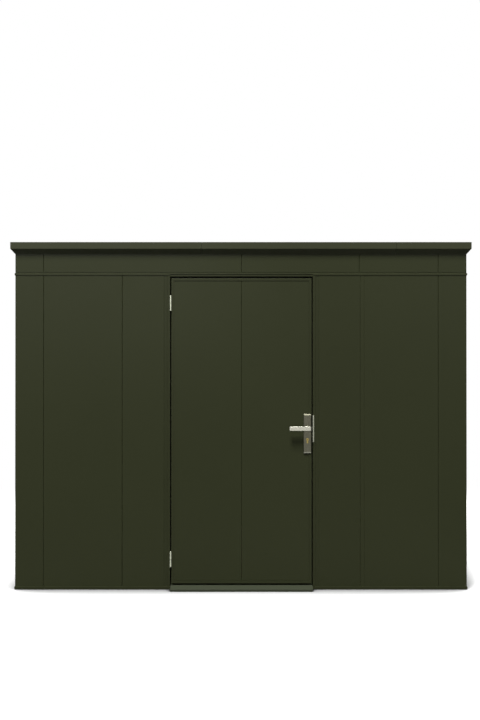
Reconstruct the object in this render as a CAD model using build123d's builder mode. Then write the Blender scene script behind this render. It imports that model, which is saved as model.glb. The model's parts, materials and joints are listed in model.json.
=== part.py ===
from build123d import *
import os

os.makedirs("parts", exist_ok=True)

# Walls: overall plan over the outer faces, with the front towards -Y
wall_width = 2936.0
wall_depth = 2328.0
wall_thickness = 40.0
corner_leg = 185.0
corner_radius = 6.0

# Places of the seams along the walls
front_panel_seam = 771.5
side_panel_seam = 385.0
joint_strip_left = 777.0
joint_strip_width = 23.0
joint_strip_gap = 0.3
header_seam_right = 770.0
crown_joint_left = -255.0
crown_joint_right = 1007.0

# Seams between neighbouring panels
seam_gap = 1.4
seam_chamfer = 1.8

# Base profile under the walls
base_height = 20.0
base_nose = 3.0
base_nose_slope = 0.5
base_drip_height = 5.0
base_drip_inset = 3.0

# Belt profile between the wall panels and the header band
belt_bottom = 2040.0
belt_height = 21.5
belt_nose = 2.8
belt_ease = 1.5
belt_neck_height = 6.0
belt_neck_depth = 1.5

# Header band, roof deck and crown trim
header_height = 117.5
roof_panel_thickness = 40.0
roof_panel_count = 3
crown_overhang = 26.0
crown_soffit_height = 32.0
crown_face_height = 43.0
crown_lap = 20.0
crown_fold = 1.0
membrane_step = 3.0
membrane_rear_thickness = 8.0

# Doorway and its frame
door_offset = 3.6
opening_width = 927.6
jamb_face = 38.0
jamb_band = 17.0
jamb_step = 2.0
jamb_seam = 0.2
head_drop = 6.0
frame_proud = 1.0
frame_edge_radius = 2.5
head_flange = 9.0
head_groove = 5.5
stop_reach = 14.0
stop_gap = 5.0
stop_thickness = 15.0

# Threshold
threshold_reach = 60.0
threshold_side_gap = 3.8
threshold_front_height = 15.0
threshold_back_height = 28.0
threshold_stop_height = 46.0
threshold_corner = 5.0
threshold_edge = 2.0

# Door leaf
leaf_thickness = 40.0
leaf_side_gap = 7.8
leaf_top_gap = 12.0
leaf_bottom = 39.0
leaf_edge_width = 16.0
leaf_edge_radius = 2.0
board_recess = 2.2
board_end_gap = 1.4
board_side_gap = 0.2
board_seam = 0.8

# Lift-off hinges: the joint between the two knuckles of each, measured from the leaf's ends
lower_hinge_rise = 159.0
upper_hinge_drop = 162.0
knuckle_radius = 6.0
knuckle_length = 50.5
knuckle_gap = 0.6
knuckle_edge = 1.0
knuckle_stand_off = 0.5
hinge_pin_radius = 3.2
hinge_pin_length = 38.0
pin_clearance = 0.3
wing_thickness = 2.0
wing_depth = 30.0

# Lock and handle: long plates, profile cylinder, lever
lever_height = 1047.0
backset = 28.0
cylinder_drop = 72.0
outside_plate_width = 48.0
inside_plate_width = 32.0
plate_height = 254.0
plate_centre_drop = 34.0
plate_thickness = 9.0
plate_bevel_length = 7.5
plate_bevel_depth = 4.5
plate_side_chamfer = 2.0
cylinder_radius = 8.5
cylinder_height = 33.0
cylinder_web = 10.0
cylinder_proud = 3.0
cylinder_clearance = 0.3
journal_radius = 8.0
journal_clearance = 0.3
spindle_side = 8.0
spindle_hole_radius = 9.0
lever_length = 118.0
lever_heel = 21.0
lever_bar_height = 28.0
lever_bar_depth = 12.0
lever_bar_round = 3.5
lever_corner_radius = 4.0
lever_reach = 38.0
lever_neck_radius = 10.0
collar_radius = 16.5
collar_depth = 8.0
collar_gap = 0.4
faceplate_height = 235.0
faceplate_width = 22.0
faceplate_thickness = 3.0
latch_height = 20.0
latch_width = 12.0
latch_proud = 2.0
bolt_drop = 50.0
bolt_height = 35.0
bolt_width = 11.0
bolt_proud = 1.0
strike_drop = 89.0
strike_height = 174.0
strike_thickness = 2.0
strike_lip = 7.6
strike_depth = 31.0
strike_edge_radius = 0.8
keeper_margin = 4.0
keeper_depth = 14.0

# Heights worked out from the sizes above
belt_top = belt_bottom + belt_height
belt_nose_top = belt_top - belt_neck_height
header_top = belt_top + header_height
roof_panel_top = header_top + roof_panel_thickness
crown_top = header_top + crown_soffit_height + crown_face_height
opening_top = belt_bottom - head_drop
flange_top = opening_top + head_flange
strike_bottom = lever_height - strike_drop

# Places across the doorway
front_y = -wall_depth / 2
opening_left = door_offset - opening_width / 2
opening_right = door_offset + opening_width / 2
leaf_left = opening_left + leaf_side_gap
leaf_right = opening_right - leaf_side_gap
leaf_top = opening_top - leaf_top_gap
leaf_width = leaf_right - leaf_left
leaf_back_y = front_y + leaf_thickness
stop_front_y = leaf_back_y + stop_gap
stop_back_y = stop_front_y + stop_thickness
lock_x = leaf_right - backset
cylinder_z = lever_height - cylinder_drop
bolt_z = lever_height - bolt_drop
latch_y = front_y + leaf_thickness / 2
hinge_heights = (leaf_bottom + lower_hinge_rise, leaf_top - upper_hinge_drop)

# Outer faces of the four walls: local X runs to the right as seen from outside, local Y is up
wall_faces = {
    "front": Plane(origin=(0, front_y, 0), x_dir=(1, 0, 0), z_dir=(0, -1, 0)),
    "rear": Plane(origin=(0, wall_depth / 2, 0), x_dir=(-1, 0, 0), z_dir=(0, 1, 0)),
    "left": Plane(origin=(-wall_width / 2, 0, 0), x_dir=(0, -1, 0), z_dir=(-1, 0, 0)),
    "right": Plane(origin=(wall_width / 2, 0, 0), x_dir=(0, 1, 0), z_dir=(1, 0, 0)),
}
wall_lengths = {
    "front": wall_width,
    "rear": wall_width,
    "left": wall_depth,
    "right": wall_depth,
}
touch = 0.01


def keep(part, name):
    """Label a finished piece and write it."""
    part.label = name
    export_step(part, f"parts/{name}.step")


def on_wall_face(edge):
    """True for an edge that lies on the outer face of a wall."""
    place = edge.center()
    on_side = abs(abs(place.X) - wall_width / 2) < touch
    on_end = abs(abs(place.Y) - wall_depth / 2) < touch
    return on_side or on_end


def on_wall_corner(edge):
    """True for an edge that lies on the outer corner of two walls."""
    place = edge.center()
    on_side = abs(abs(place.X) - wall_width / 2) < touch
    on_end = abs(abs(place.Y) - wall_depth / 2) < touch
    return on_side and on_end


def panel_run(side, seams, bottom, top):
    """Flat panels side by side on one wall, with eased edges at each hairline seam."""
    with BuildPart() as panels:
        with BuildSketch(wall_faces[side]):
            for start, end in zip(seams, seams[1:]):
                with Locations(((start + end) / 2, (bottom + top) / 2)):
                    Rectangle(end - start - seam_gap, top - bottom)
        extrude(amount=-wall_thickness)
        outer_edges = panels.edges().filter_by(Axis.Z).filter_by(on_wall_face)
        chamfer(outer_edges, length=seam_chamfer)
    return panels.part


def corner_panel(side_x, side_y, bottom, top):
    """A folded L-shaped panel round one corner of the shed."""
    leg = corner_leg - seam_gap / 2
    outer_x = side_x * wall_width / 2
    outer_y = side_y * wall_depth / 2
    inner_x = outer_x - side_x * wall_thickness
    inner_y = outer_y - side_y * wall_thickness
    end_x = outer_x - side_x * leg
    end_y = outer_y - side_y * leg
    with BuildPart() as corner:
        with BuildSketch(Plane.XY.offset(bottom)):
            with BuildLine():
                Polyline(
                    (outer_x, outer_y),
                    (end_x, outer_y),
                    (end_x, inner_y),
                    (inner_x, inner_y),
                    (inner_x, end_y),
                    (outer_x, end_y),
                    close=True,
                )
            make_face()
        extrude(amount=top - bottom)
        upright = corner.edges().filter_by(Axis.Z)
        leg_ends = upright.filter_by(lambda edge: on_wall_face(edge) and not on_wall_corner(edge))
        chamfer(leg_ends, length=seam_chamfer)
        fillet(corner.edges().filter_by(Axis.Z).filter_by(on_wall_corner), radius=corner_radius)
    return corner.part


def mitred_run(side, outline):
    """A profile along one wall, mitred at both corners; the outline is given as (outward, up)."""
    face = wall_faces[side]
    half = wall_lengths[side] / 2
    reach = max(outward for outward, up in outline)
    depth = -min(outward for outward, up in outline)
    top = max(up for outward, up in outline)
    section = Plane(origin=face.origin, x_dir=face.z_dir, z_dir=-face.x_dir)
    plan = Plane(origin=face.origin, x_dir=face.x_dir, z_dir=(0, 0, 1))
    with BuildPart() as run:
        with BuildSketch(section):
            with BuildLine():
                Polyline(*outline, close=True)
            make_face()
        extrude(amount=half + reach, both=True)
        with BuildSketch(plan):
            with BuildLine():
                Polyline(
                    (-half - reach, -reach),
                    (half + reach, -reach),
                    (half - depth, depth),
                    (-half + depth, depth),
                    close=True,
                )
            make_face()
        extrude(amount=top, mode=Mode.INTERSECT)
    return run.part


# Base profile: a flat bar under the walls with a drip nose that slopes up to the wall face
base_outline = [
    (-wall_thickness, 0),
    (base_nose - base_drip_inset, 0),
    (base_nose - base_drip_inset, base_drip_height),
    (base_nose, base_drip_height),
    (base_nose, base_height - base_nose_slope),
    (0, base_height),
    (-wall_thickness, base_height),
]
for side in ("left", "right", "rear"):
    keep(mitred_run(side, base_outline), f"base_profile_{side}")

with BuildPart() as base_profile_front:
    add(mitred_run("front", base_outline))
    with BuildSketch():
        with Locations((door_offset, front_y)):
            Rectangle(opening_width, 4 * wall_thickness)
    extrude(amount=base_height, mode=Mode.SUBTRACT)
keep(base_profile_front.part, "base_profile_front")

# Corner panels, and the short corner pieces of the header band above the belt
for end_name, side_y in (("front", -1), ("rear", 1)):
    for hand_name, side_x in (("left", -1), ("right", 1)):
        name = f"corner_panel_{end_name}_{hand_name}"
        keep(corner_panel(side_x, side_y, base_height, belt_bottom), name)

with BuildPart() as header_corners:
    for side_y in (-1, 1):
        for side_x in (-1, 1):
            add(corner_panel(side_x, side_y, belt_top, header_top))
keep(header_corners.part, "header_corners")

# Flat wall panels between the corner panels and round the doorway
corner_seam_front = wall_width / 2 - corner_leg
corner_seam_side = wall_depth / 2 - corner_leg
frame_left = opening_left - jamb_face
frame_right = opening_right + jamb_face
front_panels = {
    "front_panel_far_left": (-corner_seam_front, -front_panel_seam),
    "front_panel_left": (-front_panel_seam, frame_left),
    "front_panel_right": (frame_right, joint_strip_left),
}
for name, seams in front_panels.items():
    keep(panel_run("front", seams, base_height, belt_bottom), name)

# The far right panel has a narrow strip beside it, flush in the joint with hairline gaps
with BuildPart() as front_panel_far_right:
    joint_strip_right = joint_strip_left + joint_strip_width
    add(panel_run("front", (joint_strip_right, corner_seam_front), base_height, belt_bottom))
    with BuildSketch(wall_faces["front"]):
        strip_middle = (joint_strip_left + joint_strip_right) / 2
        with Locations((strip_middle, (base_height + belt_bottom) / 2)):
            strip_width = joint_strip_width + seam_gap - 2 * joint_strip_gap
            Rectangle(strip_width, belt_bottom - base_height)
    extrude(amount=-wall_thickness)
keep(front_panel_far_right.part, "front_panel_far_right")

side_seams = (-corner_seam_side, -side_panel_seam, side_panel_seam, corner_seam_side)
for side in ("left", "right"):
    keep(panel_run(side, side_seams, base_height, belt_bottom), f"{side}_wall_panels")

rear_seams = (-corner_seam_front, -front_panel_seam, 0, front_panel_seam, corner_seam_front)
keep(panel_run("rear", rear_seams, base_height, belt_bottom), "rear_wall_panels")

# Belt profile between the panels and the header: a nose with a recessed neck over it
belt_outline = [
    (-wall_thickness, belt_bottom),
    (belt_nose - belt_ease, belt_bottom),
    (belt_nose, belt_bottom + belt_ease),
    (belt_nose, belt_nose_top - belt_ease),
    (belt_nose - belt_ease, belt_nose_top),
    (-belt_neck_depth, belt_nose_top),
    (-belt_neck_depth, belt_top),
    (-wall_thickness, belt_top),
]
for side in ("left", "right", "rear"):
    keep(mitred_run(side, belt_outline), f"belt_{side}")

# Over the door it is cut back for the frame's flange and the shadow groove above that
with BuildPart() as belt_front:
    add(mitred_run("front", belt_outline))
    with BuildSketch(wall_faces["front"].offset(-belt_neck_depth)):
        cut_top = flange_top + head_groove
        with Locations((door_offset, cut_top)):
            Rectangle(opening_width, cut_top - belt_bottom, align=(Align.CENTER, Align.MAX))
    extrude(amount=belt_neck_depth + 2 * belt_nose, mode=Mode.SUBTRACT)
keep(belt_front.part, "belt_front")

# Header band
header_seams = (-corner_seam_front, door_offset, header_seam_right, corner_seam_front)
keep(panel_run("front", header_seams, belt_top, header_top), "header_front")
rear_header_seams = (-corner_seam_front, 0, corner_seam_front)
keep(panel_run("rear", rear_header_seams, belt_top, header_top), "header_rear")
for side in ("left", "right"):
    seams = (-corner_seam_side, corner_seam_side)
    keep(panel_run(side, seams, belt_top, header_top), f"header_{side}")

# Roof deck: panels from front to rear inside the crown, resting on the header band
roof_width = wall_width - 2 * crown_lap
roof_depth = wall_depth - 2 * crown_lap
with BuildPart() as roof_panels:
    roof_panel_width = roof_width / roof_panel_count
    with BuildSketch(Plane.XY.offset(header_top)):
        with GridLocations(roof_panel_width, 0, roof_panel_count, 1):
            Rectangle(roof_panel_width - seam_gap, roof_depth)
    extrude(amount=roof_panel_thickness)
keep(roof_panels.part, "roof_panels")

# Roof covering on its tapered layer, falling to the rear inside the crown
with BuildPart() as roof_membrane:
    with BuildSketch(Plane.YZ):
        with BuildLine():
            Polyline(
                (-roof_depth / 2, roof_panel_top),
                (roof_depth / 2, roof_panel_top),
                (roof_depth / 2, roof_panel_top + membrane_rear_thickness),
                (-roof_depth / 2, crown_top - membrane_step),
                close=True,
            )
        make_face()
    extrude(amount=roof_width / 2, both=True)
keep(roof_membrane.part, "roof_membrane")

# Crown trim: upright face over a soffit that slopes back to the wall, on the wall's outer part
crown_outline = [
    (0, header_top),
    (crown_overhang, header_top + crown_soffit_height),
    (crown_overhang, crown_top - crown_fold),
    (crown_overhang - crown_fold, crown_top),
    (-crown_lap, crown_top),
    (-crown_lap, header_top),
]
for side in ("left", "right", "rear"):
    keep(mitred_run(side, crown_outline), f"crown_{side}")

with BuildPart() as crown_front:
    add(mitred_run("front", crown_outline))
    with BuildSketch(Plane.XY.offset(header_top)):
        with Locations((crown_joint_left, front_y), (crown_joint_right, front_y)):
            Rectangle(seam_gap, 4 * crown_overhang)
    extrude(amount=crown_top - header_top, mode=Mode.SUBTRACT)
keep(crown_front.part, "crown_front")


def jamb(opening_edge, inward):
    """An upright of the door frame: proud band, lower flange and the stop behind the leaf."""
    band = opening_edge - inward * jamb_band
    flange = band - inward * jamb_step
    flange_y = front_y - frame_proud + jamb_step
    outer = opening_edge - inward * (jamb_face + seam_gap / 2 - jamb_seam)
    stop = opening_edge + inward * stop_reach
    with BuildPart() as post:
        with BuildSketch(Plane.XY.offset(base_height)):
            with BuildLine():
                Polyline(
                    (outer, flange_y),
                    (flange, flange_y),
                    (band, front_y - frame_proud),
                    (opening_edge, front_y - frame_proud),
                    (opening_edge, stop_front_y),
                    (stop, stop_front_y),
                    (stop, stop_back_y),
                    (outer, stop_back_y),
                    close=True,
                )
            make_face()
        extrude(amount=belt_bottom - base_height)
        front_edges = post.edges().filter_by(Axis.Z).group_by(Axis.Y)[0]
        fillet(front_edges.sort_by(Axis.X)[-1 if inward > 0 else 0], radius=frame_edge_radius)
    return post.part


# Hinge axis: in the gap beside the leaf, just clear of its face
hinge_x = (opening_left + leaf_left) / 2
hinge_y = front_y - knuckle_stand_off - knuckle_radius


def hinge_half(joint_z, upward, wing_x):
    """One knuckle of a lift-off hinge with its wing let into the frame or the leaf."""
    bottom = joint_z + knuckle_gap / 2 if upward else joint_z - knuckle_gap / 2 - knuckle_length
    with BuildPart() as half:
        with BuildSketch(Plane.XY.offset(bottom)):
            with Locations((hinge_x, hinge_y)):
                Circle(knuckle_radius)
        extrude(amount=knuckle_length)
        chamfer(half.edges().filter_by(GeomType.CIRCLE), length=knuckle_edge)
        with BuildSketch(Plane.XY.offset(bottom)):
            wing_length = front_y + wing_depth - hinge_y
            with Locations((wing_x, hinge_y + wing_length / 2)):
                Rectangle(wing_thickness, wing_length)
        extrude(amount=knuckle_length)
        if upward:
            with BuildSketch(Plane.XY.offset(bottom)):
                with Locations((hinge_x, hinge_y)):
                    Circle(hinge_pin_radius + pin_clearance)
            extrude(amount=hinge_pin_length + 2 * pin_clearance, mode=Mode.SUBTRACT)
        else:
            with BuildSketch(Plane.XY.offset(bottom + knuckle_length)):
                with Locations((hinge_x, hinge_y)):
                    Circle(hinge_pin_radius)
            extrude(amount=hinge_pin_length)
    return half.part


with BuildPart() as hinge_frame_halves:
    for joint_z in hinge_heights:
        add(hinge_half(joint_z, False, opening_left - wing_thickness / 2))
keep(hinge_frame_halves.part, "hinge_frame_halves")

with BuildPart() as hinge_door_halves:
    for joint_z in hinge_heights:
        add(hinge_half(joint_z, True, leaf_left + wing_thickness / 2))
keep(hinge_door_halves.part, "hinge_door_halves")


def keeper_outline():
    """The openings opposite the latch and the bolt, as seen from the leaf's free edge."""
    with Locations((latch_y, lever_height)):
        Rectangle(latch_width + keeper_margin, latch_height + keeper_margin)
    with Locations((latch_y, bolt_z)):
        Rectangle(bolt_width + keeper_margin, bolt_height + keeper_margin)


# Strike plate: a leg let into the right reveal and a lip on the face of the jamb
strike_y = front_y - frame_proud
reveal_plane = Plane.YZ.offset(opening_right)
with BuildPart() as strike_plate:
    with BuildSketch(Plane.XY.offset(strike_bottom)):
        with BuildLine():
            Polyline(
                (opening_right, strike_y - strike_thickness),
                (opening_right + strike_lip, strike_y - strike_thickness),
                (opening_right + strike_lip, strike_y),
                (opening_right + strike_thickness, strike_y),
                (opening_right + strike_thickness, front_y + strike_depth),
                (opening_right, front_y + strike_depth),
                close=True,
            )
        make_face()
    extrude(amount=strike_height)
    lip_edges = strike_plate.edges().filter_by(Axis.Z).group_by(Axis.Y)[0]
    fillet(lip_edges, radius=strike_edge_radius)
    with BuildSketch(reveal_plane):
        keeper_outline()
    extrude(amount=strike_thickness, mode=Mode.SUBTRACT)
keep(strike_plate.part, "strike_plate")

# Door frame: the left jamb takes the hinge wings, the right one the strike plate and its pockets
with BuildPart() as door_frame_left_jamb:
    add(jamb(opening_left, 1))
    add(hinge_frame_halves.part, mode=Mode.SUBTRACT)
keep(door_frame_left_jamb.part, "door_frame_left_jamb")

with BuildPart() as door_frame_right_jamb:
    add(jamb(opening_right, -1))
    add(strike_plate.part, mode=Mode.SUBTRACT)
    with BuildSketch(reveal_plane):
        keeper_outline()
    extrude(amount=keeper_depth, mode=Mode.SUBTRACT)
keep(door_frame_right_jamb.part, "door_frame_right_jamb")

with BuildPart() as door_frame_head:
    frame_depth = stop_back_y - front_y
    stop_depth = stop_front_y - front_y
    front_section = Plane(origin=(door_offset, front_y, 0), x_dir=(0, -1, 0), z_dir=(-1, 0, 0))
    with BuildSketch(front_section):
        with BuildLine():
            Polyline(
                (frame_proud, opening_top),
                (frame_proud, flange_top),
                (-belt_neck_depth, flange_top),
                (-belt_neck_depth, belt_bottom),
                (-frame_depth, belt_bottom),
                (-frame_depth, opening_top - stop_reach),
                (-stop_depth, opening_top - stop_reach),
                (-stop_depth, opening_top),
                close=True,
            )
        make_face()
    extrude(amount=opening_width / 2, both=True)
    add(jamb(opening_left, 1), mode=Mode.SUBTRACT)
    add(jamb(opening_right, -1), mode=Mode.SUBTRACT)
keep(door_frame_head.part, "door_frame_head")

# Threshold: a sloped tread in front of the door, with a stop behind the leaf
with BuildPart() as threshold:
    with BuildSketch(front_section):
        with BuildLine():
            Polyline(
                (-frame_depth, 0),
                (threshold_reach, 0),
                (threshold_reach, threshold_front_height),
                (0, threshold_back_height),
                (-stop_depth, threshold_back_height),
                (-stop_depth, threshold_stop_height),
                (-frame_depth, threshold_stop_height),
                close=True,
            )
        make_face()
    extrude(amount=opening_width / 2 - threshold_side_gap, both=True)
    add(jamb(opening_left, 1), mode=Mode.SUBTRACT)
    add(jamb(opening_right, -1), mode=Mode.SUBTRACT)
    fillet(threshold.edges().filter_by(Axis.Z).group_by(Axis.Y)[0], radius=threshold_corner)
    front_edges = threshold.faces().sort_by(Axis.Y)[0].edges().filter_by(Axis.X)
    fillet(front_edges.sort_by(Axis.Z)[-1], radius=threshold_edge)
keep(threshold.part, "threshold")


def cylinder_outline(clearance):
    """The profile cylinder's keyhole-shaped section, centred on its round part."""
    Circle(cylinder_radius + clearance)
    web_length = cylinder_height - cylinder_radius + clearance
    Rectangle(cylinder_web + 2 * clearance, web_length, align=(Align.CENTER, Align.MAX))


# Upright plane through the lock's centre line, facing out of the door
lock_plane = Plane(origin=(lock_x, front_y, 0), x_dir=(1, 0, 0), z_dir=(0, -1, 0))
through = leaf_thickness + 2 * plate_thickness

# Lock faceplate in the leaf's free edge, with the latch and the bolt drawn back
with BuildPart() as lock_faceplate:
    edge_plane = Plane.YZ.offset(leaf_right)
    with BuildSketch(edge_plane):
        with Locations((latch_y, lever_height - plate_centre_drop)):
            Rectangle(faceplate_width, faceplate_height)
    extrude(amount=-faceplate_thickness)
    with BuildSketch(edge_plane):
        with Locations((latch_y, lever_height)):
            Rectangle(latch_width, latch_height)
    extrude(amount=latch_proud)
    with BuildSketch(edge_plane):
        with Locations((latch_y, bolt_z)):
            Rectangle(bolt_width, bolt_height)
    extrude(amount=bolt_proud)
keep(lock_faceplate.part, "lock_faceplate")

# Door leaf: two boards held in a channel that runs round their edges
leaf_face = Plane(origin=(door_offset, front_y, 0), x_dir=(1, 0, 0), z_dir=(0, -1, 0))
leaf_height = leaf_top - leaf_bottom
board_height = leaf_height - 2 * (leaf_edge_width + board_end_gap)
board_span = leaf_width - 2 * (leaf_edge_width + board_side_gap)

with BuildPart() as door_edge_frame:
    with BuildSketch(leaf_face):
        with Locations((0, leaf_bottom + leaf_height / 2)):
            Rectangle(leaf_width, leaf_height)
            Rectangle(
                leaf_width - 2 * leaf_edge_width,
                leaf_height - 2 * leaf_edge_width,
                mode=Mode.SUBTRACT,
            )
    extrude(amount=-leaf_thickness)
    outer_face = door_edge_frame.faces().sort_by(Axis.Y)[0]
    fillet(outer_face.outer_wire().edges(), radius=leaf_edge_radius)
    add(hinge_door_halves.part, mode=Mode.SUBTRACT)
    add(lock_faceplate.part, mode=Mode.SUBTRACT)
keep(door_edge_frame.part, "door_edge_frame")

with BuildPart() as door_boards:
    with BuildSketch(leaf_face.offset(-board_recess)):
        with Locations((0, leaf_bottom + leaf_height / 2)):
            with GridLocations(board_span / 2, 0, 2, 1):
                Rectangle(board_span / 2 - board_seam, board_height)
    extrude(amount=-(leaf_thickness - 2 * board_recess))
    upright = door_boards.edges().filter_by(Axis.Z).group_by(Axis.Y)[0]
    chamfer(upright.sort_by(Axis.X)[1:3], length=seam_chamfer)
    with BuildSketch(lock_plane):
        with Locations((0, lever_height)):
            Circle(spindle_hole_radius)
        with Locations((0, cylinder_z)):
            cylinder_outline(cylinder_clearance)
    extrude(amount=-leaf_thickness, mode=Mode.SUBTRACT)
keep(door_boards.part, "door_boards")


def long_plate(face_y, outward, width):
    """A long plate on one face of the leaf, bevelled at both ends."""
    bottom = lever_height - plate_centre_drop - plate_height / 2
    top = bottom + plate_height
    thin = face_y + outward * (plate_thickness - plate_bevel_depth)
    full = face_y + outward * plate_thickness
    with BuildPart() as plate:
        with BuildSketch(Plane.YZ.offset(lock_x)):
            with BuildLine():
                Polyline(
                    (face_y, bottom),
                    (thin, bottom),
                    (full, bottom + plate_bevel_length),
                    (full, top - plate_bevel_length),
                    (thin, top),
                    (face_y, top),
                    close=True,
                )
            make_face()
        extrude(amount=width / 2, both=True)
        long_edges = plate.edges().filter_by(Axis.Z).group_by(Axis.Y)[0 if outward < 0 else -1]
        chamfer(long_edges, length=plate_side_chamfer)
        with BuildSketch(Plane(origin=(lock_x, face_y, 0), x_dir=(1, 0, 0), z_dir=(0, -1, 0))):
            with Locations((0, lever_height)):
                Circle(journal_radius + journal_clearance)
            with Locations((0, cylinder_z)):
                cylinder_outline(cylinder_clearance)
        extrude(amount=-outward * plate_thickness, mode=Mode.SUBTRACT)
    return plate.part


keep(long_plate(front_y, -1, outside_plate_width), "outside_plate")
keep(long_plate(leaf_back_y, 1, inside_plate_width), "inside_plate")

# Profile cylinder through the leaf and both plates
with BuildPart() as lock_cylinder:
    with BuildSketch(lock_plane.offset(plate_thickness + cylinder_proud)):
        with Locations((0, cylinder_z)):
            cylinder_outline(0)
    extrude(amount=-(through + 2 * cylinder_proud))
keep(lock_cylinder.part, "lock_cylinder")


def lever(face_y, outward):
    """A lever handle on one face of the leaf: journal, collar, neck and flat bar."""

    def level(distance):
        """Upright plane on the handle's axis, this far out from the leaf."""
        origin = (lock_x, face_y + outward * distance, lever_height)
        return Plane(origin=origin, x_dir=(-outward, 0, 0), z_dir=(0, outward, 0))

    collar_start = plate_thickness + collar_gap
    bar_start = plate_thickness + lever_reach - lever_bar_depth
    with BuildPart() as handle:
        with BuildSketch(level(bar_start)) as bar:
            with Locations((outward * (lever_length - lever_heel) / 2, 0)):
                Rectangle(lever_length + lever_heel, lever_bar_height)
            fillet(bar.vertices(), radius=lever_corner_radius)
        extrude(amount=lever_bar_depth)
        long_edges = handle.edges().filter_by(Axis.Y, reverse=True)
        fillet(long_edges, radius=lever_bar_round)
        with BuildSketch(level(collar_start)):
            Circle(lever_neck_radius)
        extrude(amount=bar_start - collar_start + lever_bar_round)
        with BuildSketch(level(collar_start)):
            Circle(collar_radius)
        extrude(amount=collar_depth)
        with BuildSketch(level(0)):
            Circle(journal_radius)
        extrude(amount=collar_start)
    return handle.part


# Handles: the outside one carries the square spindle that turns the inside one
with BuildPart() as outside_lever:
    add(lever(front_y, -1))
    with BuildSketch(lock_plane):
        with Locations((0, lever_height)):
            Rectangle(spindle_side, spindle_side)
    extrude(amount=-leaf_thickness)
keep(outside_lever.part, "outside_lever")

keep(lever(leaf_back_y, 1), "inside_lever")
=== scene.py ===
import json
import math

import bmesh
import bpy
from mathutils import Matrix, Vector


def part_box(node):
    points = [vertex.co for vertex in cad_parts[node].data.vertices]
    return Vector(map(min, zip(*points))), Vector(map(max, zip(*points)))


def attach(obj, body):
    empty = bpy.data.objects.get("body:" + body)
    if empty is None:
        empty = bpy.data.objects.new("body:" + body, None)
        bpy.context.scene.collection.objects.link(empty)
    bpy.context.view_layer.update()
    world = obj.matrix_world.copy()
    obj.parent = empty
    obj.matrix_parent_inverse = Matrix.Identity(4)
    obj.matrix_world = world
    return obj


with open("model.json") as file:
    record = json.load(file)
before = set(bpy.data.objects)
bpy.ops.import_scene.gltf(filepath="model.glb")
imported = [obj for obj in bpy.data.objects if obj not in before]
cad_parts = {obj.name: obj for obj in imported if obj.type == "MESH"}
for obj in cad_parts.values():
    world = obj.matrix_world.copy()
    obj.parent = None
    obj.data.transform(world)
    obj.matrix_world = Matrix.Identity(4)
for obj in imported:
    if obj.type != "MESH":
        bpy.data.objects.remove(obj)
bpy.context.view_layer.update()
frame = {"nodes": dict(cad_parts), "record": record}
nodes = frame["nodes"]
mm = 0.001
X, Y, Z = 0, 1, 2
QUARTER_TURN = math.pi / 2

# Camera, straight in front of the shed: metres, and degrees of upward tilt
PHOTO_SCALE = 6.5 * mm          # size of one pixel of the photograph on the front wall
PHOTO_HEIGHT = 720
CAMERA_DISTANCE = 5.79
CAMERA_HEIGHT = 1.464
CAMERA_SIDE = -0.006
CAMERA_PITCH = 0.26
CAMERA_REACH = 100
SENSOR = 36.0

# Coatings and metals, as linear colours
OLIVE = (0.0307, 0.0345, 0.0161)
# Lighter olive on the crown: painted light, for the stronger light on its fascia
OLIVE_CROWN_LIT = (0.0420, 0.0460, 0.0250)
GREY_GREEN = (0.0410, 0.0470, 0.0300)
NICKEL = (0.350, 0.345, 0.290)
# Darker nickel for the long plates: painted shade, for the dark surroundings that their faces
# reflect
SHADED_NICKEL = (0.074, 0.072, 0.052)
# Paler nickel for the painted highlight on the plates' lower bevel
HIGHLIGHT_NICKEL = (0.170, 0.170, 0.135)
STRIKE_STEEL = (0.210, 0.215, 0.165)
HINGE_STEEL = (0.300, 0.310, 0.240)
BRASS = (0.190, 0.150, 0.050)
PLUG_BRASS = (0.210, 0.165, 0.060)
SCREW_STEEL = (0.350, 0.350, 0.330)
SHEET_BLACK = (0.020, 0.020, 0.021)
RUBBER = (0.008, 0.008, 0.008)

# Darker copies of the common coating on single pieces: painted shade on front_panel_right, for
# the right side of the wall that gets less light; the jambs simply darker
PANEL_SHADE_AND_TONE = {
    "front_panel_right": 0.97,
    "door_frame_left_jamb": 0.93,
    "door_frame_right_jamb": 0.93,
}

# Range that a noise mostly fills, and the detail of the finer ones
NOISE_LOW = 0.3
NOISE_HIGH = 0.7
FINE_DETAIL = 3.0

# Coating: faint clouds, patches of roughness and orange peel, in cells per metre
COAT_SHEEN = 0.03
COAT_ROUGH = 0.30
CLOUD_SCALE = 1.1
CLOUD_CHANGE = 0.03
PATCH_SCALE = 6.0
PATCH_CHANGE = 0.03
PEEL_SCALE = 420.0
PEEL_DEPTH = 0.05 * mm
PEEL_STRENGTH = 0.25

# Brushed metal: marks across and along the brush, and the roughness of each finish
BRUSH_ACROSS = 2200.0
BRUSH_ALONG = 40.0
BRUSH_CHANGE = 0.1
BRUSH_SMOOTHER = 0.04
BRUSH_ROUGHER = 0.05
BRUSH_DEPTH = 0.02 * mm
BRUSH_STRENGTH = 0.2
ROUGH_LEVER = 0.30
ROUGH_PLATE = 0.33
ROUGH_STEEL = 0.35

# Lower end of the long plates, painted lighter: a painted highlight for the floor's reflection in
# their lower bevel
HIGHLIGHT_HEIGHT = 7.5 * mm
HIGHLIGHT_BLEND = 1.0 * mm

# Roofing sheet: dust and pebbled face
SHEET_SHEEN = 0.25
SHEET_ROUGH = 0.72
DUST_SCALE = 5.0
DUST_DETAIL = 6.0
DUST_ROUGHNESS = 0.7
DUST_CHANGE = 0.22
PEBBLE_SCALE = 900.0
PEBBLE_DEPTH = 0.2 * mm
PEBBLE_STRENGTH = 0.5

# Rubber
RUBBER_SHEEN = 0.2
RUBBER_ROUGH = 0.8
RUBBER_SCALE = 60.0
RUBBER_CHANGE = 0.2

# Edges sharper than this stay sharp
SMOOTH_ANGLE = math.radians(35)

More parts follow.
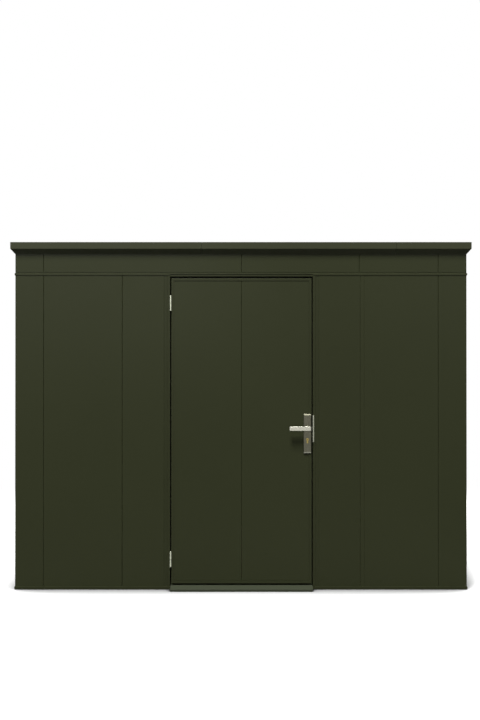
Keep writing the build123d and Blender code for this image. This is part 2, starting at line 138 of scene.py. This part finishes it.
# Door seal on the frame's stop, behind the leaf
STOP_GAP = 5.0 * mm
SEAL_WIDTH = 11.0 * mm
SEAL_HEIGHT = 4.4 * mm
SEAL_ROUND = 1.6 * mm
SEAL_ROUND_STEPS = 4
SEAL_EDGE = 1.0 * mm

# Plug of the profile cylinder and its keyway
PLUG_RADIUS = 6.4 * mm
PLUG_SIDES = 48
PLUG_PROUD = 0.7 * mm
PLUG_DEPTH = 4 * PLUG_PROUD
PLUG_EDGE = 0.5 * mm
KEYWAY_WIDTH = 2.0 * mm
KEYWAY_HEIGHT = 8.6 * mm

# Countersunk screws with a cross recess
SCREW_RADIUS = 4.2 * mm
SCREW_SIDES = 32
SCREW_PROUD = 0.5 * mm
SCREW_DEPTH = 4 * SCREW_PROUD
SCREW_EDGE = 0.35 * mm
RECESS_WIDTH = 1.1 * mm
RECESS_LENGTH = 4.6 * mm
RECESS_TURN = math.radians(20)
STRIKE_SCREW_INSET = 9.5 * mm
EDGE_SCREW_INSET = 11.0 * mm
PLATE_SCREW_INSET = 22.0 * mm

# Laps of the roofing sheet, running with the fall; the sheet's own thickness is the solid's
LAP_PLACES = (1 / 3, 2 / 3)
LAP_WIDTH = 60.0 * mm
LAP_THICKNESS = 3.0 * mm
LAP_EDGE = 1.0 * mm
LAP_EDGE_STEPS = 2
LAP_MARGIN = 2.0 * mm
SHEET_REAR_THICKNESS = 8.0 * mm

# Studio floor: as the camera sees it, and as the light that it throws back on the shed.
# Painted contact shade darkens its colour to black where no more than the given share of the
# space above it is open.
FLOOR_PALE = 0.80
FLOOR_DARK = 0.05
FLOOR_FULL_SHADE = 0.3


def low_of(node, axis):
    """Lowest coordinate of a CAD node along one axis."""
    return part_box(node)[0][axis]


def high_of(node, axis):
    """Highest coordinate of a CAD node along one axis."""
    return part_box(node)[1][axis]


def middle_of(node, axis):
    """Coordinate halfway along a CAD node."""
    return (low_of(node, axis) + high_of(node, axis)) / 2


front_y = low_of("corner_panel_front_left", Y)


# Materials

def new_material(name):
    """An empty node material with its shader and object coordinates."""
    material = bpy.data.materials.new(name)
    material.use_nodes = True
    tree = material.node_tree
    shader = tree.nodes["Principled BSDF"]
    place = tree.nodes.new("ShaderNodeTexCoord")
    return material, tree, shader, place.outputs["Object"]


def noise(tree, place, scale, detail=2.0, roughness=0.5):
    """Noise over the object's own coordinates, in cells per metre."""
    texture = tree.nodes.new("ShaderNodeTexNoise")
    texture.inputs["Scale"].default_value = scale
    texture.inputs["Detail"].default_value = detail
    texture.inputs["Roughness"].default_value = roughness
    tree.links.new(place, texture.inputs["Vector"])
    return texture.outputs["Fac"]


def stretch(tree, place, factors):
    """Object coordinates drawn out along some axes."""
    mapping = tree.nodes.new("ShaderNodeMapping")
    mapping.inputs["Scale"].default_value = factors
    tree.links.new(place, mapping.inputs["Vector"])
    return mapping.outputs["Vector"]


def map_range(tree, value, old, new=(0.0, 1.0), smooth=False):
    """The value, brought from the old range to the new one and held inside it."""
    node = tree.nodes.new("ShaderNodeMapRange")
    if smooth:
        node.interpolation_type = "SMOOTHSTEP"
    node.inputs["From Min"].default_value, node.inputs["From Max"].default_value = old
    node.inputs["To Min"].default_value, node.inputs["To Max"].default_value = new
    tree.links.new(value, node.inputs["Value"])
    return node.outputs["Result"]


def spread(tree, factor, low=0.0, high=1.0):
    """Noise brought to the range from low to high."""
    return map_range(tree, factor, (NOISE_LOW, NOISE_HIGH), (low, high))


def mix_colours(tree, factor):
    """A mix of two colours that follows the factor."""
    mix = tree.nodes.new("ShaderNodeMix")
    mix.data_type = "RGBA"
    tree.links.new(factor, mix.inputs["Factor"])
    return mix


def tint(tree, factor, colour, change):
    """The colour, a little darker and lighter where the noise says."""
    mix = mix_colours(tree, factor)
    mix.inputs["A"].default_value = [c * (1 - change) for c in colour] + [1]
    mix.inputs["B"].default_value = [c * (1 + change) for c in colour] + [1]
    return mix.outputs["Result"]


def bump(tree, shader, height, distance, strength):
    """Relief of the given depth on the shader."""
    node = tree.nodes.new("ShaderNodeBump")
    node.inputs["Distance"].default_value = distance
    node.inputs["Strength"].default_value = strength
    tree.links.new(height, node.inputs["Height"])
    tree.links.new(node.outputs["Normal"], shader.inputs["Normal"])


def coating(name, colour, shade_and_tone=1.0):
    """Baked satin-matt coating: faint cloudiness and a fine orange-peel relief."""
    material, tree, shader, place = new_material(name)
    cloud = spread(tree, noise(tree, place, CLOUD_SCALE, FINE_DETAIL))
    finish = tint(tree, cloud, [c * shade_and_tone for c in colour], CLOUD_CHANGE)
    tree.links.new(finish, shader.inputs["Base Color"])
    patches = noise(tree, place, PATCH_SCALE)
    rough = spread(tree, patches, COAT_ROUGH - PATCH_CHANGE, COAT_ROUGH + PATCH_CHANGE)
    tree.links.new(rough, shader.inputs["Roughness"])
    shader.inputs["Specular IOR Level"].default_value = COAT_SHEEN
    bump(tree, shader, noise(tree, place, PEEL_SCALE), PEEL_DEPTH, PEEL_STRENGTH)
    return material


def painted_highlight_end(tree, place, colour, highlight_below):
    """The colour, lightened to a paler nickel below the given height: a painted highlight."""
    axes = tree.nodes.new("ShaderNodeSeparateXYZ")
    tree.links.new(place, axes.inputs["Vector"])
    rise = map_range(tree, axes.outputs["Z"], (highlight_below - HIGHLIGHT_BLEND, highlight_below + HIGHLIGHT_BLEND))
    mix = mix_colours(tree, rise)
    mix.inputs["A"].default_value = [*HIGHLIGHT_NICKEL, 1]
    tree.links.new(colour, mix.inputs["B"])
    return mix.outputs["Result"]


def brushed(name, colour, along, rough, highlight_below=None):
    """Satin metal with fine brush marks along one axis."""
    material, tree, shader, place = new_material(name)
    factors = [BRUSH_ACROSS] * 3
    factors[along] = BRUSH_ALONG
    marks = spread(tree, noise(tree, stretch(tree, place, factors), 1.0, FINE_DETAIL))
    finish = tint(tree, marks, colour, BRUSH_CHANGE)
    # Painted highlight on the lower end
    if highlight_below:
        finish = painted_highlight_end(tree, place, finish, highlight_below)
    tree.links.new(finish, shader.inputs["Base Color"])
    gloss = spread(tree, marks, rough - BRUSH_SMOOTHER, rough + BRUSH_ROUGHER)
    tree.links.new(gloss, shader.inputs["Roughness"])
    shader.inputs["Metallic"].default_value = 1.0
    bump(tree, shader, marks, BRUSH_DEPTH, BRUSH_STRENGTH)
    return material


def roof_sheet(name):
    """Matt black roofing sheet with a fine pebbled face and a little dust."""
    material, tree, shader, place = new_material(name)
    dust = spread(tree, noise(tree, place, DUST_SCALE, DUST_DETAIL, DUST_ROUGHNESS))
    tree.links.new(tint(tree, dust, SHEET_BLACK, DUST_CHANGE), shader.inputs["Base Color"])
    shader.inputs["Roughness"].default_value = SHEET_ROUGH
    shader.inputs["Specular IOR Level"].default_value = SHEET_SHEEN
    pebbles = noise(tree, place, PEBBLE_SCALE, FINE_DETAIL)
    bump(tree, shader, pebbles, PEBBLE_DEPTH, PEBBLE_STRENGTH)
    return material


def rubber(name):
    """Dull black rubber."""
    material, tree, shader, place = new_material(name)
    wear = spread(tree, noise(tree, place, RUBBER_SCALE))
    tree.links.new(tint(tree, wear, RUBBER, RUBBER_CHANGE), shader.inputs["Base Color"])
    shader.inputs["Roughness"].default_value = RUBBER_ROUGH
    shader.inputs["Specular IOR Level"].default_value = RUBBER_SHEEN
    return material


panel_coat = coating("olive_panel_coat", OLIVE)
trim_coat = coating("olive_trim_coat", OLIVE)
crown_lit_coat = coating("olive_crown_coat", OLIVE_CROWN_LIT)
threshold_coat = coating("threshold_coat", GREY_GREEN)
covering = roof_sheet("roof_sheet")
lever_metal = brushed("lever_nickel", NICKEL, X, ROUGH_LEVER)
# Long plates: darker nickel as a painted reflection of dark surroundings, with a painted
# highlight on the lower end
plate_metal_painted_light = brushed("plate_nickel_painted_light", SHADED_NICKEL, Z, ROUGH_PLATE,
                      highlight_below=low_of("outside_plate", Z) + HIGHLIGHT_HEIGHT)
strike_metal = brushed("strike_steel", STRIKE_STEEL, Z, ROUGH_STEEL)
hinge_metal = brushed("hinge_steel", HINGE_STEEL, Z, ROUGH_STEEL)
brass = brushed("cylinder_brass", BRASS, X, ROUGH_STEEL)
plug_brass = brushed("plug_brass", PLUG_BRASS, X, ROUGH_LEVER)
screw_steel = brushed("screw_steel", SCREW_STEEL, X, ROUGH_STEEL)
seal_rubber = rubber("seal_rubber")

FINISHES = {
    "panel_green": panel_coat,
    "trim_green": trim_coat,
    "threshold_grey": threshold_coat,
    "lock_brass": brass,
    "roof_covering": covering,
    "roof_deck": panel_coat,
}
NODE_FINISHES = {
    "outside_lever": lever_metal,
    "inside_lever": lever_metal,
    "outside_plate": plate_metal_painted_light,
    "inside_plate": plate_metal_painted_light,
    "lock_faceplate": strike_metal,
    "strike_plate": strike_metal,
    "hinge_frame_halves": hinge_metal,
    "hinge_door_halves": hinge_metal,
}


def finish_node(name, material):
    """Gives every material slot of a CAD node its finish."""
    node = nodes[name]
    if not node.data.materials:
        node.data.materials.append(material)
    for place in node.material_slots:
        place.material = material


for entry in frame["record"]["subparts"]:
    name = entry["node"]
    material = NODE_FINISHES.get(name) or FINISHES[entry["material_slot"]]
    # The crown takes the lighter coating: painted light
    if name.startswith("crown_"):
        material = crown_lit_coat
    # Darker coating copies: painted shade on front_panel_right, plainly darker on the jambs
    if name in PANEL_SHADE_AND_TONE:
        material = coating(f"olive_{name}_coat", OLIVE, PANEL_SHADE_AND_TONE[name])
    finish_node(name, material)


# Pieces too fine for the solids

def leave_edit():
    """Object mode with nothing selected."""
    if bpy.context.object and bpy.context.object.mode != "OBJECT":
        bpy.ops.object.mode_set(mode="OBJECT")
    bpy.ops.object.select_all(action="DESELECT")


def activate(piece):
    """Object mode with one piece selected and active."""
    leave_edit()
    piece.select_set(True)
    bpy.context.view_layer.objects.active = piece


def apply_transform():
    """Takes the selected pieces' place, turn and scale into their meshes."""
    bpy.ops.object.transform_apply(location=True, rotation=True, scale=True)


def put_in_scene(name, data, place, turn=(0, 0, 0)):
    """A new object with this data at a place."""
    thing = bpy.data.objects.new(name, data)
    bpy.context.scene.collection.objects.link(thing)
    thing.location = place
    thing.rotation_euler = turn
    return thing


def new_cylinder(radius, depth, place, sides):
    """A disc whose flat faces look to the front and the rear."""
    leave_edit()
    bpy.ops.mesh.primitive_cylinder_add(
        vertices=sides, radius=radius, depth=depth, location=place,
        rotation=(QUARTER_TURN, 0, 0))
    apply_transform()
    return bpy.context.object


def new_block(size, place, turn=(0, 0, 0)):
    """A block of the given size, turned about its middle."""
    leave_edit()
    bpy.ops.mesh.primitive_cube_add(size=1, location=place, rotation=turn)
    block = bpy.context.object
    block.scale = size
    apply_transform()
    return block


def edit(piece, kind):
    """Edit mode on one piece, with nothing picked yet."""
    activate(piece)
    bpy.ops.object.mode_set(mode="EDIT")
    bpy.ops.mesh.select_mode(type=kind)
    bpy.ops.mesh.select_all(action="DESELECT")
    return bmesh.from_edit_mesh(piece.data)


def pick(piece, parts, test):
    """Picks the faces or edges that pass the test."""
    for part in parts:
        part.select_set(test(part))
    bmesh.update_edit_mesh(piece.data)


def raise_face(piece, outward, edge):
    """Slopes the rim of the disc's outer face and sets the rest of it forward."""
    shape = edit(piece, "FACE")
    pick(piece, shape.faces, lambda face: face.normal.y * outward > 0.5)
    bpy.ops.mesh.inset(thickness=edge)
    bpy.ops.transform.translate(value=(0, outward * edge / 2, 0))


def cut(piece, cutter):
    """Takes the cutter's shape out of the piece."""
    activate(piece)
    tool = piece.modifiers.new("cut", "BOOLEAN")
    tool.operation = "DIFFERENCE"
    tool.solver = "EXACT"
    tool.object = cutter
    bpy.ops.object.modifier_apply(modifier=tool.name)
    bpy.data.objects.remove(cutter)


def join(pieces):
    """Several objects as one mesh."""
    activate(pieces[0])
    for piece in pieces[1:]:
        piece.select_set(True)
    bpy.ops.object.join()
    return pieces[0]


def finish_piece(piece, name, material, body):
    """Names a piece, gives it its finish and lets it ride on its body."""
    activate(piece)
    piece.name = name
    piece.data.name = name
    piece.data.materials.clear()
    piece.data.materials.append(material)
    bpy.ops.object.shade_smooth_by_angle(angle=SMOOTH_ANGLE)
    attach(piece, body)


def make_seal():
    """Rubber seal round the stop behind the leaf, crowned towards the leaf."""
    left = high_of("door_frame_left_jamb", X) - SEAL_EDGE
    right = low_of("door_frame_right_jamb", X) + SEAL_EDGE
    top = low_of("door_frame_head", Z) + SEAL_EDGE
    bottom = high_of("threshold", Z) - SEAL_EDGE
    stop_y = high_of("door_edge_frame", Y) + STOP_GAP
    leave_edit()
    place = ((left + right) / 2, stop_y, (bottom + top) / 2)
    bpy.ops.mesh.primitive_plane_add(size=1, location=place, rotation=(QUARTER_TURN, 0, 0))
    seal = bpy.context.object
    seal.scale = (right - left + 2 * SEAL_WIDTH, top - bottom + 2 * SEAL_WIDTH, 1)
    apply_transform()
    edit(seal, "FACE")
    bpy.ops.mesh.select_all(action="SELECT")
    bpy.ops.mesh.inset(thickness=SEAL_WIDTH)
    bpy.ops.mesh.delete(type="FACE")
    bpy.ops.mesh.select_all(action="SELECT")
    bpy.ops.mesh.extrude_region_move(TRANSFORM_OT_translate={"value": (0, -SEAL_HEIGHT, 0)})
    bpy.ops.mesh.select_all(action="SELECT")
    bpy.ops.mesh.normals_make_consistent(inside=False)
    shape = edit(seal, "EDGE")
    crown_y = stop_y - SEAL_HEIGHT / 2

    def on_crown(edge):
        faces = edge.link_faces
        ridge = abs(faces[0].normal.dot(faces[1].normal)) < 0.5
        return ridge and all(vert.co.y < crown_y for vert in edge.verts)

    pick(seal, shape.edges, on_crown)
    bpy.ops.mesh.bevel(offset=SEAL_ROUND, segments=SEAL_ROUND_STEPS, affect="EDGES")
    finish_piece(seal, "door_seal", seal_rubber, "shed")


def make_plug(name, face_y, outward):
    """The cylinder's turning plug on one face, with its keyway."""
    x = middle_of("lock_cylinder", X)
    z = high_of("lock_cylinder", Z) - (x - low_of("lock_cylinder", X))
    plug_y = face_y + outward * (PLUG_PROUD - PLUG_DEPTH / 2)
    plug = new_cylinder(PLUG_RADIUS, PLUG_DEPTH, (x, plug_y, z), PLUG_SIDES)
    raise_face(plug, outward, PLUG_EDGE)
    keyway_y = face_y + outward * PLUG_DEPTH / 2
    cut(plug, new_block((KEYWAY_WIDTH, PLUG_DEPTH, KEYWAY_HEIGHT), (x, keyway_y, z)))
    finish_piece(plug, name, plug_brass, "door")


def make_screw():
    """A screw head at the origin, looking to the front."""
    place = (0, SCREW_DEPTH / 2 - SCREW_PROUD, 0)
    head = new_cylinder(SCREW_RADIUS, SCREW_DEPTH, place, SCREW_SIDES)
    raise_face(head, -1, SCREW_EDGE)
    for width, height in ((RECESS_WIDTH, RECESS_LENGTH), (RECESS_LENGTH, RECESS_WIDTH)):
        size = (width, SCREW_DEPTH, height)
        cut(head, new_block(size, (0, -SCREW_DEPTH / 2, 0), turn=(0, RECESS_TURN, 0)))
    return head


def place_screws(name, plate, x, y, inset, turn, body):
    """Two screws near a plate's ends, turned to look out of its face."""
    copies = []
    for z in (low_of(plate, Z) + inset, high_of(plate, Z) - inset):
        copy = put_in_scene(name, screw_head.data.copy(), (x, y, z), (0, 0, turn))
        activate(copy)
        apply_transform()
        copies.append(copy)
    finish_piece(join(copies), name, screw_steel, body)


def make_laps():
    """Lapped seams of the roofing sheet at the thirds of the roof."""
    low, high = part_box("roof_membrane")
    rear_z = low[Z] + SHEET_REAR_THICKNESS
    depth = high[Y] - low[Y]
    fall = math.atan2(high[Z] - rear_z, depth)
    length = depth / math.cos(fall) - 2 * LAP_MARGIN

    def on_long_edge(edge):
        along = abs(edge.verts[0].co.y - edge.verts[1].co.y) > length / 2
        upper = all(face.normal.z > -0.5 for face in edge.link_faces)
        return along and upper

    laps = []
    for share in LAP_PLACES:
        x = low[X] + (high[X] - low[X]) * share
        place = (x, (low[Y] + high[Y]) / 2, (high[Z] + rear_z) / 2)
        lap = new_block((LAP_WIDTH, length, LAP_THICKNESS), place, turn=(-fall, 0, 0))
        shape = edit(lap, "EDGE")
        pick(lap, shape.edges, on_long_edge)
        bpy.ops.mesh.bevel(offset=LAP_EDGE, segments=LAP_EDGE_STEPS, affect="EDGES")
        laps.append(lap)
    finish_piece(join(laps), "roof_laps", covering, "shed")


make_seal()
make_plug("plug_outside", low_of("lock_cylinder", Y), -1)
make_plug("plug_inside", high_of("lock_cylinder", Y), 1)
screw_head = make_screw()
place_screws("strike_screws", "strike_plate",
             low_of("strike_plate", X), middle_of("strike_plate", Y),
             STRIKE_SCREW_INSET, -QUARTER_TURN, "shed")
place_screws("faceplate_screws", "lock_faceplate",
             high_of("door_edge_frame", X), middle_of("lock_faceplate", Y),
             EDGE_SCREW_INSET, QUARTER_TURN, "door")
place_screws("inside_plate_screws", "inside_plate",
             middle_of("inside_plate", X), high_of("inside_plate", Y),
             PLATE_SCREW_INSET, math.pi, "door")
bpy.data.objects.remove(screw_head)
make_laps()


# Studio

def add_camera():
    """The photographer's camera: almost level, from straight in front."""
    data = bpy.data.cameras.new("camera")
    data.sensor_fit = "VERTICAL"
    data.sensor_height = SENSOR
    data.lens = SENSOR * CAMERA_DISTANCE / (PHOTO_HEIGHT * PHOTO_SCALE)
    data.clip_end = CAMERA_REACH
    place = (CAMERA_SIDE, front_y - CAMERA_DISTANCE, CAMERA_HEIGHT)
    turn = (math.radians(90 + CAMERA_PITCH), 0, 0)
    bpy.context.scene.camera = put_in_scene("camera", data, place, turn)


def add_lamp(name, place, turn, width, height, power):
    """A rectangular soft light."""
    data = bpy.data.lights.new(name, "AREA")
    data.shape = "RECTANGLE"
    data.size = width
    data.size_y = height
    data.energy = power
    return put_in_scene(name, data, place, turn)


def add_softbox(name, place, aim, side, power):
    """A square soft light at a place, turned towards a point."""
    direction = Vector(aim) - Vector(place)
    turn = direction.to_track_quat("-Z", "Y").to_euler()
    add_lamp(name, place, turn, side, side, power)


def add_card(name, place, width, height, power):
    """A bright upright card in front of the shed that only shows in its sheen."""
    card = add_lamp(name, place, (QUARTER_TURN, 0, 0), width, height, power)
    card.visible_diffuse = False
    card.visible_camera = False


def background_rays(tree):
    """One for rays that come from the camera, a reflection or through glass, else zero."""
    path = tree.nodes.new("ShaderNodeLightPath")
    result = path.outputs["Is Camera Ray"]
    for kind in ("Is Glossy Ray", "Is Transmission Ray"):
        either = tree.nodes.new("ShaderNodeMath")
        either.operation = "MAXIMUM"
        tree.links.new(result, either.inputs[0])
        tree.links.new(path.outputs[kind], either.inputs[1])
        result = either.outputs[0]
    return result


def set_world(ambient):
    """White studio background with a dim even light."""
    world = bpy.data.worlds.new("studio")
    world.use_nodes = True
    bpy.context.scene.world = world
    tree = world.node_tree
    background = tree.nodes["Background"]
    background.inputs["Color"].default_value = (1, 1, 1, 1)
    level = map_range(tree, background_rays(tree), (0.0, 1.0), (ambient, 1.0))
    tree.links.new(level, background.inputs["Strength"])


def mix_shaders(tree, factor, first, second):
    """The second shader where the factor is one, the first where it is zero."""
    mix = tree.nodes.new("ShaderNodeMixShader")
    tree.links.new(factor, mix.inputs[0])
    tree.links.new(first, mix.inputs[1])
    tree.links.new(second, mix.inputs[2])
    return mix.outputs[0]


def add_floor(size, lit_radius, white_radius, contact):
    """White studio floor that keeps the shed's shadow, darkened near the shed by painted contact
    shade, and runs out into the background.
    """
    leave_edit()
    bpy.ops.mesh.primitive_plane_add(size=size, location=(0, 0, 0))
    floor = bpy.context.object
    floor.name = "studio_floor"
    material = bpy.data.materials.new("studio_floor")
    material.use_nodes = True
    tree = material.node_tree
    tree.nodes.remove(tree.nodes["Principled BSDF"])
    # Painted contact shade: the floor colour darkens where the shed closes off the space above it
    open_share = tree.nodes.new("ShaderNodeAmbientOcclusion")
    open_share.inputs["Distance"].default_value = contact
    shade = map_range(tree, open_share.outputs["AO"], (FLOOR_FULL_SHADE, 1.0), (0.0, FLOOR_PALE))
    pale = tree.nodes.new("ShaderNodeBsdfDiffuse")
    tree.links.new(shade, pale.inputs["Color"])
    dark = tree.nodes.new("ShaderNodeBsdfDiffuse")
    dark.inputs["Color"].default_value = (FLOOR_DARK, FLOOR_DARK, FLOOR_DARK, 1)
    white = tree.nodes.new("ShaderNodeEmission")
    white.inputs["Strength"].default_value = 1.0
    place = tree.nodes.new("ShaderNodeTexCoord")
    radius = tree.nodes.new("ShaderNodeVectorMath")
    radius.operation = "LENGTH"
    tree.links.new(place.outputs["Object"], radius.inputs[0])
    far = map_range(tree, radius.outputs["Value"], (lit_radius, white_radius), smooth=True)
    seen = mix_shaders(tree, far, pale.outputs[0], white.outputs[0])
    surface = mix_shaders(tree, background_rays(tree), dark.outputs[0], seen)
    tree.links.new(surface, tree.nodes["Material Output"].inputs["Surface"])
    floor.data.materials.append(material)


add_camera()
set_world(ambient=0.36)
add_floor(size=60, lit_radius=3.0, white_radius=4.5, contact=0.22)
add_softbox("key", place=(-1.9, front_y - 7.0, 16.3), aim=(0, front_y, 1.1), side=4.6, power=4850)
add_card("card_left", place=(-3.3, front_y - 9, 4.4), width=6.8, height=5.0, power=540)
add_card("card_right", place=(4.2, front_y - 9, 4.4), width=4.0, height=5.0, power=190)
add_softbox("overhead", place=(0, 0.8, 6.5), aim=(0, 0.8, 0), side=3.0, power=150)
add_softbox("rear_fill", place=(3.4, 6.0, 5.0), aim=(0, 1.1, 1.1), side=3.0, power=500)
add_softbox("left_fill", place=(-7.0, 1.2, 6.0), aim=(-1.4, 0, 1.1), side=3.0, power=420)
add_softbox("right_fill", place=(7.0, 1.2, 6.0), aim=(1.4, 0, 1.1), side=3.0, power=420)
bpy.context.scene.view_settings.view_transform = "Standard"
